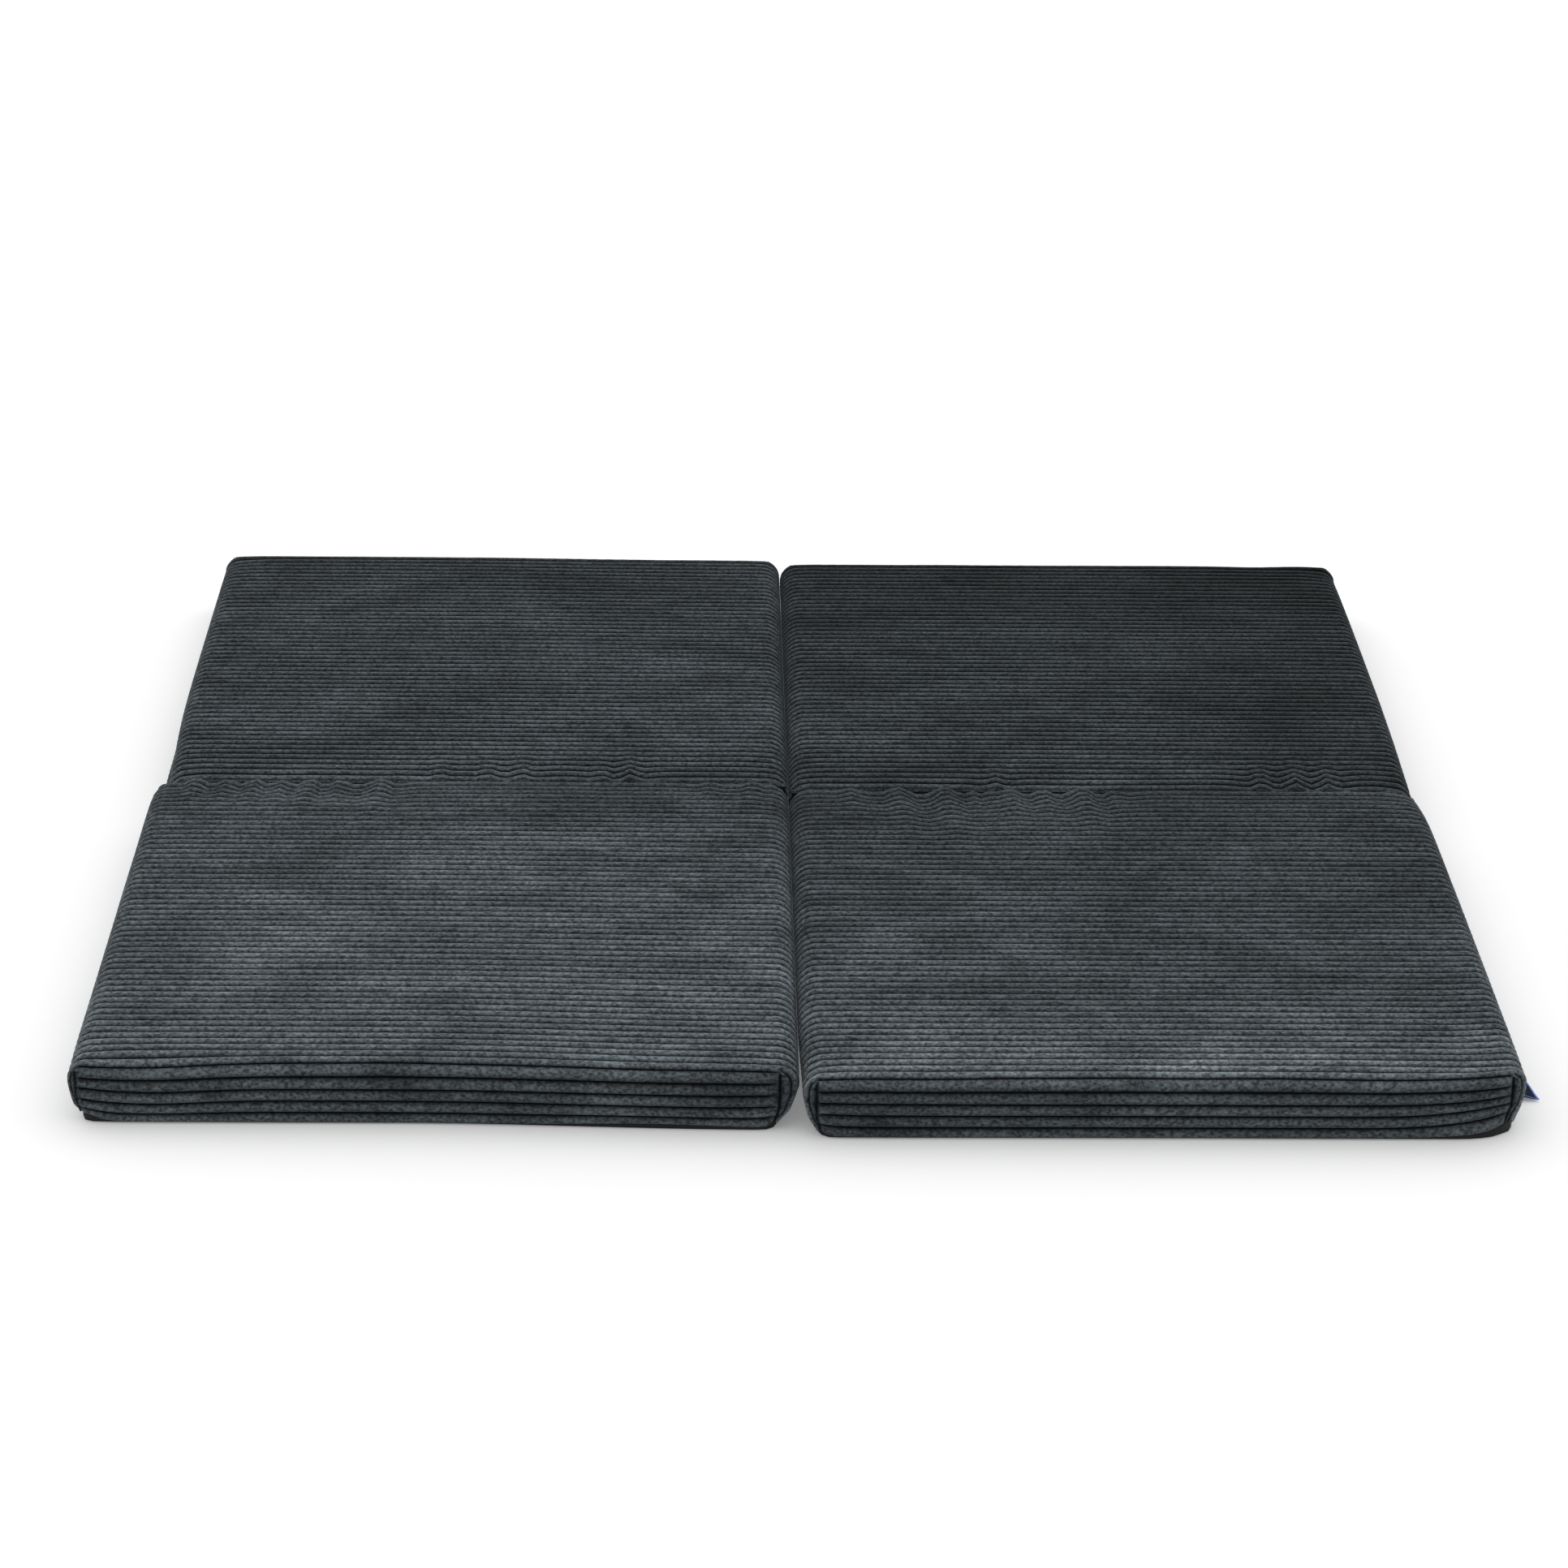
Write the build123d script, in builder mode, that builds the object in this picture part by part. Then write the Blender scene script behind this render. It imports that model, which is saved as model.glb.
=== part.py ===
from build123d import *
import os
from math import atan2, degrees

# A folding floor mattress: two halves lie side by side, and each half is two square pads that are
# sewn together along their upper edges, so that one pad folds up and over onto the other.
# Millimetres. +X runs along the ribs, from the left half to the right half, +Y runs from the front
# pads to the back pads, +Z is up. The origin is on the floor, on the line between the halves, and
# each half is drawn about its own crease line and then set back or forward from it, because the
# halves are pushed together a little out of line.

# Driving dimensions
pad_side = 600.0  # from the centre lines to the outer face of a pad, both ways
thickness = 60.0  # floor to the crests of the ribs
set_back = {"left": 9.0, "right": -5.0}  # how far behind the origin each half's crease line lies
halves_gap = 1.0  # clearance between the halves, where their walls are widest
crease_gap = 3.0  # clearance between the two end walls at a crease

# Shape of a pad's walls
bulge_height = 36.0  # height at which a wall stands out furthest
outer_draw_in = 7.0  # how far the outer long wall draws in from there to the base
inner_draw_in = 14.0  # the same for the long wall beside the other half
end_draw_in = 5.0  # the same at a pad's outer end
side_edge_radius = 18.0  # soft upper edge beside the other half and on the outside
end_edge_radius = 9.0  # tighter fold over the outer end
crease_edge_radius = 4.0  # the edge that the crease seam pulls down

# Cloth and foam
cover_thickness = 3.0  # padded corduroy, ribs included
base_thickness = 1.6  # plain woven underside
foam_clearance = 1.5  # loose fit of the foam core in its cover

# Zip along the outer long wall of each pad
zip_height = 12.0  # centre line of the zip above the floor
zip_length = 480.0
zip_slot_width = 9.0  # opening in the cover that shows the zip
tape_width = 9.0
tape_thickness = 0.8
tape_depth = 3.1  # outer face of the tapes, below the face of the wall
tape_split = 1.6  # gap between the two tapes
coil_width = 1.4
coil_thickness = 1.2
stop_length = 3.0

# Zip slider and its pull
slider_length = 10.0
slider_width = 8.0
slider_plate = 1.3
slider_clearance = 0.2
slider_flange = 1.2
slider_back_plate = 1.0
foam_groove_depth = 5.6  # room in the foam for the slider's back plate
pin_radius = 0.6  # pin across the slider that carries the pull
pin_height = 1.0  # pin above the face of the wall
lug_gap = 4.0
lug_thickness = 0.8
pull_length = 20.0
pull_width = 5.0
pull_eye_width = 3.4
pull_thickness = 1.2
pull_eye_clearance = 0.15

# Crease seam and label
seam_thickness = 1.2
seam_height = 11.0
seam_end_inset = 16.0
label_width = 22.0
label_length = 19.0
label_thickness = 1.6
label_height = 3.2
label_from_front = 66.0  # front edge of the label behind the front face

wall_rise = bulge_height - base_thickness
wall_slope = atan2(outer_draw_in, wall_rise)
pad_width = pad_side - halves_gap / 2
slot_half = zip_slot_width / 2
coil_end = zip_length / 2 - stop_length
slider_travel = 2 * coil_end - slider_length - 1
slider_rest = slider_travel / 2
coil_face = tape_depth - coil_thickness  # outer face of the coils, below the face of the wall
slider_face = coil_face - slider_clearance - slider_plate

os.makedirs("parts", exist_ok=True)

# Each pad is named with its side of the centre line and its side of the crease
pads = {
    "front_left": (-1, -1),
    "back_left": (-1, 1),
    "front_right": (1, -1),
    "back_right": (1, 1),
}


def save(builder, name):
    """Sets the part back with its half, and writes it."""
    half = "left" if "left" in name else "right"
    placed = builder.part.moved(Location((0, set_back[half], 0)))
    placed.label = name
    export_step(placed, f"parts/{name}.step")


def pad_space(side, end, shrink, floor):
    """The space inside a pad's outer faces, drawn in by shrink: its section across the pad meets
    its section from the crease to the outer end."""
    half = pad_width / 2 - shrink
    top = thickness - shrink
    near = crease_gap / 2 + shrink
    far = pad_side - shrink
    middle = side * (pad_side - pad_width / 2)
    with BuildPart() as space:
        with BuildSketch(Plane((middle, 0, 0), x_dir=(1, 0, 0), z_dir=(0, -1, 0))) as across:
            with BuildLine():
                Polyline(
                    (side * (inner_draw_in - half), floor),
                    (side * -half, bulge_height),
                    (side * -half, top),
                    (side * half, top),
                    (side * half, bulge_height),
                    (side * (half - outer_draw_in), floor),
                    close=True,
                )
            make_face()
            fillet(across.vertices().group_by(Axis.Y)[-1], radius=side_edge_radius - shrink)
        extrude(amount=2 * pad_side, both=True)
        with BuildSketch(Plane((middle, 0, 0), x_dir=(0, end, 0), z_dir=(end, 0, 0))) as along:
            with BuildLine():
                Polyline(
                    (near, floor),
                    (far - end_draw_in, floor),
                    (far, bulge_height),
                    (far, top),
                    (near, top),
                    close=True,
                )
            make_face()
            upper = along.vertices().group_by(Axis.Y)[-1].sort_by(Axis.X)
            fillet(upper[-1], radius=end_edge_radius - shrink)
            if shrink < crease_edge_radius:
                upper = along.vertices().group_by(Axis.Y)[-1].sort_by(Axis.X)
                fillet(upper[0], radius=crease_edge_radius - shrink)
        extrude(amount=pad_side, both=True, mode=Mode.INTERSECT)
    return space.part


def wall_plane(side, end):
    """The outer long wall at the zip: x away from the crease or towards it, y up the wall, z out."""
    out = Vector(1, 0, 0).rotate(Axis.Y, degrees(wall_slope))
    inset = outer_draw_in * (bulge_height - zip_height) / wall_rise
    origin = (side * (pad_side - inset), end * pad_side / 2, zip_height)
    return Plane(origin, x_dir=(0, side, 0), z_dir=(side * out.X, 0, out.Z))


def block(plane, x_span, y_span, z_span, mode=Mode.ADD):
    """A rectangular block between two limits each way, measured on a plane."""
    with BuildSketch(plane.offset(z_span[0])) as outline:
        with Locations((sum(x_span) / 2, sum(y_span) / 2)):
            Rectangle(x_span[1] - x_span[0], y_span[1] - y_span[0])
    extrude(outline.sketch, amount=z_span[1] - z_span[0], mode=mode)


def make_shell(name, side, end):
    """Cover, base panel and foam core of one pad."""
    wall = wall_plane(side, end)
    outside = pad_space(side, end, 0, base_thickness)
    inside = pad_space(side, end, cover_thickness, base_thickness)
    filling = pad_space(side, end, cover_thickness + foam_clearance, base_thickness + 0.5)

    with BuildPart() as cover:
        add(outside)
        add(inside, mode=Mode.SUBTRACT)
        slot = zip_length / 2 + 1
        block(wall, (-slot, slot), (-slot_half, slot_half), (-tape_depth - 1, 2), Mode.SUBTRACT)
    save(cover, f"{name}_cover")

    with BuildPart() as base:
        foot = outside.faces().sort_by(Axis.Z)[0]
        with BuildSketch(Plane.XY):
            with Locations((foot.center().X, foot.center().Y)):
                Rectangle(foot.bounding_box().size.X, foot.bounding_box().size.Y)
        extrude(amount=base_thickness)
    save(base, f"{name}_base_panel")

    with BuildPart() as core:
        add(filling)
        groove = zip_length / 2
        block(wall, (-groove, groove), (-slot_half, slot_half), (-foam_groove_depth, 0), Mode.SUBTRACT)
    save(core, f"{name}_foam_core")


def make_zip(name, side, end):
    """Tapes, coils and end stops, on the outer long wall of one pad."""
    wall = wall_plane(side, end)
    for row, way in (("upper", 1), ("lower", -1)):
        edge = tape_split / 2
        with BuildPart() as tape:
            width = sorted((way * edge, way * (edge + tape_width)))
            block(wall, (-zip_length / 2, zip_length / 2), width, (-tape_depth - tape_thickness, -tape_depth))
        save(tape, f"{name}_zip_{row}_tape")
        with BuildPart() as coil:
            width = sorted((way * edge, way * (edge + coil_width)))
            block(wall, (-coil_end, coil_end), width, (-tape_depth, -coil_face))
        save(coil, f"{name}_zip_{row}_coil")

    with BuildPart() as stops:
        width = tape_split / 2 + coil_width
        for way in (-1, 1):
            span = sorted((way * coil_end, way * (coil_end + stop_length)))
            block(wall, span, (-width, width), (-tape_depth, -coil_face))
    save(stops, f"{name}_zip_end_stops")


def make_slider(name, side, end):
    """Slider at the crease end of its zip, and the pull on its pin."""
    wall = wall_plane(side, end)
    to_crease = -side * end  # the crease end of the zip, along the wall plane's x
    middle = wall.from_local_coords(Vector(to_crease * slider_rest, 0, 0))
    here = Plane(middle, x_dir=wall.x_dir, z_dir=wall.z_dir)
    long = slider_length / 2
    wide = slider_width / 2
    back = tape_depth + tape_thickness + slider_clearance
    guide = tape_split / 2 - slider_clearance
    with BuildPart() as slider:
        block(here, (-long, long), (-wide, wide), (-slider_face - slider_plate, -slider_face))
        for way in (-1, 1):
            flange = sorted((way * (wide - slider_flange), way * wide))
            block(here, (-long, long), flange, (-tape_depth + slider_clearance, -slider_face))
            lug = sorted((way * lug_gap / 2, way * (lug_gap / 2 + lug_thickness)))
            block(here, (-1.6, 1.6), lug, (-slider_face, pin_height + pin_radius + 0.3))
        block(here, (-long, long), (-wide + 0.5, wide - 0.5), (-back - slider_back_plate, -back))
        block(here, (-1.5, 1.5), (-guide, guide), (-back - 0.1, -slider_face - 0.1))
        with BuildSketch(Plane(here.origin, x_dir=here.z_dir, z_dir=here.y_dir)):
            with Locations((pin_height, 0)):
                Circle(pin_radius)
        extrude(amount=lug_gap / 2 + lug_thickness / 2, both=True)
    save(slider, f"{name}_zip_slider")

    with BuildPart() as pull:
        eye = pin_radius + pull_eye_clearance
        reach = -to_crease * pull_length
        low = pin_height - pull_thickness / 2
        with BuildSketch(Plane(here.origin, x_dir=here.z_dir, z_dir=here.y_dir)):
            with Locations((pin_height, 0)):
                Circle(eye + 0.5)
        extrude(amount=pull_eye_width / 2, both=True)
        block(here, sorted((0, reach)), (-pull_eye_width / 2, pull_eye_width / 2), (low, low + pull_thickness))
        grip = sorted((reach * 0.3, reach))
        block(here, grip, (-pull_width / 2, pull_width / 2), (low, low + pull_thickness))
        with BuildSketch(Plane(here.origin, x_dir=here.z_dir, z_dir=here.y_dir)):
            with Locations((pin_height, 0)):
                Circle(eye)
        extrude(amount=pull_width, both=True, mode=Mode.SUBTRACT)
    save(pull, f"{name}_zip_pull")


def make_crease_seam(name, side):
    """Bound seam allowances that hang between the end walls, just under the crease line."""
    inner = halves_gap / 2 + seam_end_inset
    outer = pad_side - seam_end_inset
    with BuildPart() as seam:
        with BuildSketch(Plane.XY.offset(thickness - seam_height)):
            with Locations((side * (inner + outer) / 2, 0)):
                Rectangle(outer - inner, seam_thickness)
        extrude(amount=seam_height)
        fillet(seam.edges().filter_by(Axis.X).group_by(Axis.Z)[-1], radius=seam_thickness * 0.4)
    save(seam, f"{name}_crease_seam")


def make_label():
    """Folded loop label, caught in the base seam of the front right pad's outer wall."""
    top = label_height + label_thickness
    root = pad_side - outer_draw_in * (bulge_height - top) / wall_rise + 0.1
    front = label_from_front - pad_side
    with BuildPart() as label:
        with BuildSketch(Plane.XY.offset(label_height)):
            with BuildLine():
                Polyline(
                    (root, front),
                    (root + label_length, front + 1),
                    (root + label_length * 0.72, front + label_width - 2),
                    (root, front + label_width),
                    close=True,
                )
            make_face()
        extrude(amount=label_thickness)
    save(label, "side_label")


for pad_name, (pad_x, pad_y) in pads.items():
    make_shell(pad_name, pad_x, pad_y)
    make_zip(pad_name, pad_x, pad_y)
    make_slider(pad_name, pad_x, pad_y)
for half_name, half_x in (("left", -1), ("right", 1)):
    make_crease_seam(half_name, half_x)
make_label()
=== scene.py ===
import math

import bpy
import numpy as np
from mathutils import Matrix, Vector, kdtree


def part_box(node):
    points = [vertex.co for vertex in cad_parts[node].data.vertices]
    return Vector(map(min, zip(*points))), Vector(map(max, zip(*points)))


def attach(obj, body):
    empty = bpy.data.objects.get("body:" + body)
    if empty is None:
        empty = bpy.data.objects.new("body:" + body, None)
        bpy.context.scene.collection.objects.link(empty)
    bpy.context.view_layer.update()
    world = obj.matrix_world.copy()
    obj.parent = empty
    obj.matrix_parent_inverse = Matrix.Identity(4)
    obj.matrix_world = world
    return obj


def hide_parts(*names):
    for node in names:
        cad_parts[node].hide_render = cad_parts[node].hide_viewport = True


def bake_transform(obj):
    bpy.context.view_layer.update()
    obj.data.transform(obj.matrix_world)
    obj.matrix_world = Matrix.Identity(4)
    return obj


# A folding floor mattress in wide-wale corduroy: two halves side by side, each of two square foam
# pads sewn together along a crease. Metres. +X along the ribs, +Y from front to back, +Z up.

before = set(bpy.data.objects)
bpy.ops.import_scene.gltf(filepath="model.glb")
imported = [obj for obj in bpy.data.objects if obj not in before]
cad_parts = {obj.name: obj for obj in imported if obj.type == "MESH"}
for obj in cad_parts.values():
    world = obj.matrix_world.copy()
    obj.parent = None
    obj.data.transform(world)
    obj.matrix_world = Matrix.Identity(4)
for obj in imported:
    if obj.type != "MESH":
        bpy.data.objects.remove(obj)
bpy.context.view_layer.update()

# side: which half the pad is in, end: -1 in front of the crease and 1 behind it
PADS = {
    "front_left": (-1, -1),
    "back_left": (-1, 1),
    "front_right": (1, -1),
    "back_right": (1, 1),
}

# Cloth of the covers
RIBS = 54  # from one upper edge of a pad to the other
RIB_POINTS = (0.0, 0.06, 0.14, 0.27, 0.5, 0.73, 0.86, 0.94)  # places along one rib, groove to groove
FIRST_RIB = 1.20  # the rib below the fold of an end wall, against one on the top
WALL_RIB = 1.04  # the ribs below it
GROOVE = 0.0032  # depth of the grooves between ribs
CREASE_CORNER = 0.005  # how far the long walls wrap round the corners at the crease
SEAM_DIP = 0.0030  # how far the cloth turns in at a corner seam
SEAM_REACH = 0.0026  # how far from the seam it starts to turn in
SEAM_OVERLAP = 0.0012  # how far the two cloths pass each other inside the seam
ZIP_RECESS = 0.0046  # how far the cloth turns in behind a zip
PRESSED = 0.85  # how much of a rib's depth is lost where the two halves touch
MOST_SWELLING = 0.0016  # the most that the simulated cloth may move

# Shape of a pad
BULGE_HEIGHT = 0.036  # where the walls stand out furthest
SIDE_DRAW = {  # how far the inner and outer long walls draw in from there to the base
    "front_left": (0.0145, 0.007),
    "back_left": (0.009, 0.007),
    "front_right": (0.009, 0.007),
    "back_right": (0.009, 0.007),
}
END_DRAW = 0.004  # the same at the outer end
SIDE_RADIUS = 0.018  # upper edges along the long walls
FOLD_RADIUS = 0.009  # upper edge at the outer end
CREASE_RADIUS = 0.003  # upper edge at the crease
CORNER_RADIUS = {  # how far the inner and outer walls wrap round the corners, to their seams
    "front_left": (0.016, 0.007),
    "back_left": (0.011, 0.009),
    "front_right": (0.011, 0.015),
    "back_right": (0.011, 0.009),
}
CREASE_INNER = 0.002  # from the inner wall to the end of the crease seam
CREASE_OUTER = 0.024  # the same at the outer wall
TOP_SLACK = 0.0008  # the crests lie this far under the CAD top, which leaves room for puckers
FOAM_INSET = 0.006  # cloth's crests to the foam
FOAM_CORNER = 0.022  # how far the foam's upright corners are rounded
BASE_EDGE = 0.0040  # how high the black base stands up at its edge
BASE_INSET = 0.0022  # wall to the base's edge
BASE_CORNER = 0.008  # radius of the base's corners in plan

# How each pad lies. Lengths in metres, along the pad from its crease or out from its middle.
SET_OUT = {  # the outer end's inner and outer corners pushed away from the crease, and the last blunted
    "front_left": (0.002, -0.008, 0.001),
    "back_left": (0.004, 0.009, 0.003),
    "front_right": (0.001, 0.000, 0.016),
    "back_right": (0.008, 0.009, 0.004),
}
WAIST = {  # how far the outer wall is pulled in at the crease, how far along that reaches, and everywhere
    "front_left": (0.000, 0.05, 0.000),
    "back_left": (0.007, 0.13, 0.0050),
    "front_right": (0.002, 0.05, 0.0005),
    "back_right": (0.004, 0.16, 0.0030),
}
TUCK = {"front_left": 0.0012, "back_left": 0.002, "front_right": 0.0026, "back_right": 0.002}
PARTING = {"front_left": 0.0, "front_right": 0.0022}  # the inner walls part here at the front
GATHER = {  # an outer end corner: how far its seam lifts the ribs, how far that reaches, sag beside it
    "front_left": (0.0022, 0.016, 0.0036),
    "back_left": (0.0060, 0.040, 0.0),
    "front_right": (0.0100, 0.056, 0.0),
    "back_right": (0.0080, 0.050, 0.0),
}
# How far the end wall's foot is lifted off the black base: at its outer corner, and in one more place
# with its distance from the inner wall and its reach
FOOT = {
    "front_left": (0.0070, 0.0036, 0.115, 0.085),
    "back_left": (0.0030, 0.0, 0.1, 0.1),
    "front_right": (0.0040, 0.0, 0.1, 0.1),
    "back_right": (0.0030, 0.0, 0.1, 0.1),
}
# Ridges that the crease seam gathers: distance from the inner wall, height, and reach from the crease
PUCKERS = {
    "front_left": (
        (0.035, 0.0012, 0.030),
        (0.075, 0.0010, 0.026),
        (0.385, 0.0024, 0.052),
        (0.424, 0.0016, 0.034),
        (0.451, 0.0022, 0.044),
        (0.478, 0.0018, 0.034),
        (0.503, 0.0022, 0.036),
        (0.528, 0.0018, 0.030),
        (0.558, 0.0022, 0.030),
    ),
    "back_left": (
        (0.150, 0.0022, 0.034),
        (0.176, 0.0012, 0.026),
        (0.252, 0.0014, 0.034),
        (0.284, 0.0012, 0.030),
        (0.330, 0.0010, 0.030),
    ),
    "front_right": (
        (0.058, 0.0014, 0.036),
        (0.104, 0.0026, 0.062),
        (0.148, 0.0030, 0.080),
        (0.174, 0.0020, 0.034),
        (0.191, 0.0022, 0.034),
        (0.208, 0.0026, 0.052),
        (0.240, 0.0016, 0.034),
        (0.276, 0.0030, 0.066),
        (0.306, 0.0014, 0.030),
    ),
    "back_right": (
        (0.452, 0.0020, 0.036),
        (0.486, 0.0026, 0.040),
        (0.517, 0.0022, 0.036),
        (0.196, 0.0014, 0.026),
    ),
}
# Painted light and shade: how light the cloth is painted at its back edge, a third and two thirds
# forward, at its front edge and on its front wall, which is painted darker as shade, how that painted
# shade changes out to the outer wall, and how strong the mottling is
PAINTED_LIGHT_STOPS = (0.0, 0.32, 0.64, 0.92, 1.0)  # where those five levels of painted light and shade sit along their attribute
PAINTED_LIGHT_SCALE = 3.0  # keeps the levels under 1 in their colour ramp
PAINTED_LIGHT_AND_MOTTLING = {
    "front_left": ((0.96, 1.78, 1.98, 2.04, 1.08), 1.0, 0.90),
    "back_left": ((0.76, 1.00, 1.08, 1.06, 1.00), 0.97, 0.85),
    "front_right": ((0.78, 1.02, 1.40, 2.44, 1.02), 0.98, 0.95),
    "back_right": ((0.35, 0.68, 0.82, 0.82, 0.80), 0.66, 0.95),
}


def smooth(x):
    """0 below 0, 1 above 1 and a soft step between."""
    x = np.clip(x, 0.0, 1.0)
    return x * x * (3 - 2 * x)


def ripple(seed, x, y, wavelength):
    """Soft noise from -1 to 1 over a plane: a few waves in different directions."""
    rng = np.random.default_rng(seed)
    total = np.zeros(np.broadcast(x, y).shape)
    for _ in range(7):
        turn = rng.uniform(0, math.tau)
        length = wavelength * rng.uniform(0.7, 1.6)
        along = x * math.cos(turn) + y * math.sin(turn)
        total = total + np.sin(along * math.tau / length + rng.uniform(0, math.tau))
    return total / 7 * 1.6


class Pad:
    """A pad's CAD cover, as the frame for its cloth. a runs out from the pad's middle to its outer
    wall, b from the crease to its outer end, and z up."""

    def __init__(self, name):
        low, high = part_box(f"{name}_cover")
        self.name = name
        self.side, self.end = PADS[name]
        self.middle = (low.x + high.x) / 2
        self.half = (high.x - low.x) / 2
        self.crease = low.y if self.end > 0 else high.y
        self.length = high.y - low.y
        self.foot = low.z
        self.top = high.z
        zip_low, zip_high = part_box(f"{name}_zip_upper_coil")
        self.zip_span = sorted(self.end * (y - self.crease) for y in (zip_low.y, zip_high.y))
        zip_bottom, zip_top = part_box(f"{name}_zip_lower_coil")[0].z, zip_high.z
        self.zip_height = (zip_bottom + zip_top) / 2

    def draw_in(self, z, amount):
        """How far a wall has drawn in at height z."""
        below = np.clip((BULGE_HEIGHT - z) / (BULGE_HEIGHT - self.foot), 0, 1)
        return amount * below**1.2

    def width_at(self, z, wall):
        """From the pad's middle to its outer (wall 1) or inner (wall -1) face at height z."""
        deep = np.clip(SIDE_RADIUS - (self.top - z), 0, SIDE_RADIUS)
        rounded = SIDE_RADIUS - np.sqrt(SIDE_RADIUS**2 - deep**2)
        return self.half - rounded - self.draw_in(z, self.side_draw(wall))

    def side_draw(self, wall):
        inner, outer = SIDE_DRAW[self.name]
        return np.where(np.asarray(wall) > 0, outer, inner)

    def corner(self, wall, b):
        """How far a long wall wraps round the corner at the end that b is nearer to."""
        inner, outer = CORNER_RADIUS[self.name]
        far = np.where(np.asarray(wall) > 0, outer, inner)
        return CREASE_CORNER + (far - CREASE_CORNER) * smooth((b - 0.02) / 0.12)

    def seam_at(self, z, wall, b):
        """From the pad's middle to the corner seams beside that wall at height z."""
        share = 0.88 - 0.76 * smooth((b - 0.02) / 0.12)
        return self.half - self.corner(wall, b) - share * self.draw_in(z, self.side_draw(wall))

    def end_at(self, z, radius, draw):
        """How far inside the end plane the wall lies at height z."""
        deep = np.clip(radius - (self.top - z), 0, radius)
        return radius - np.sqrt(radius**2 - deep**2) + self.draw_in(z, draw)

    def crown_at(self, a):
        """Height of the top at a, with the rounded edges along the long walls."""
        out = np.clip(np.abs(a) - (self.half - SIDE_RADIUS), 0, SIDE_RADIUS)
        return self.top - SIDE_RADIUS + np.sqrt(SIDE_RADIUS**2 - out**2)

    def lengthwise(self):
        """The line down the middle of the cloth, foot to foot over the top, as points (b, z)."""
        turn = np.linspace(0, math.pi / 2, 25)
        up = np.linspace(self.foot, self.top - CREASE_RADIUS, 30)
        near = CREASE_RADIUS * (1 - np.cos(turn))
        near_z = self.top - CREASE_RADIUS * (1 - np.sin(turn))
        far = self.length - FOLD_RADIUS * (1 - np.sin(turn))
        far_z = self.top - FOLD_RADIUS * (1 - np.cos(turn))
        down = np.linspace(self.top - FOLD_RADIUS, self.foot, 40)
        b = np.concatenate(
            [0 * up, near[1:], far, self.length - self.draw_in(down[1:], END_DRAW)]
        )
        z = np.concatenate([up, near_z[1:], far_z, down[1:]])
        return b, z

    def world(self, points):
        """Local (a, b, z) to the shared frame."""
        out = np.empty_like(points)
        out[..., 0] = self.middle + self.side * points[..., 0]
        out[..., 1] = self.crease + self.end * points[..., 1]
        out[..., 2] = points[..., 2]
        return out


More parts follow.
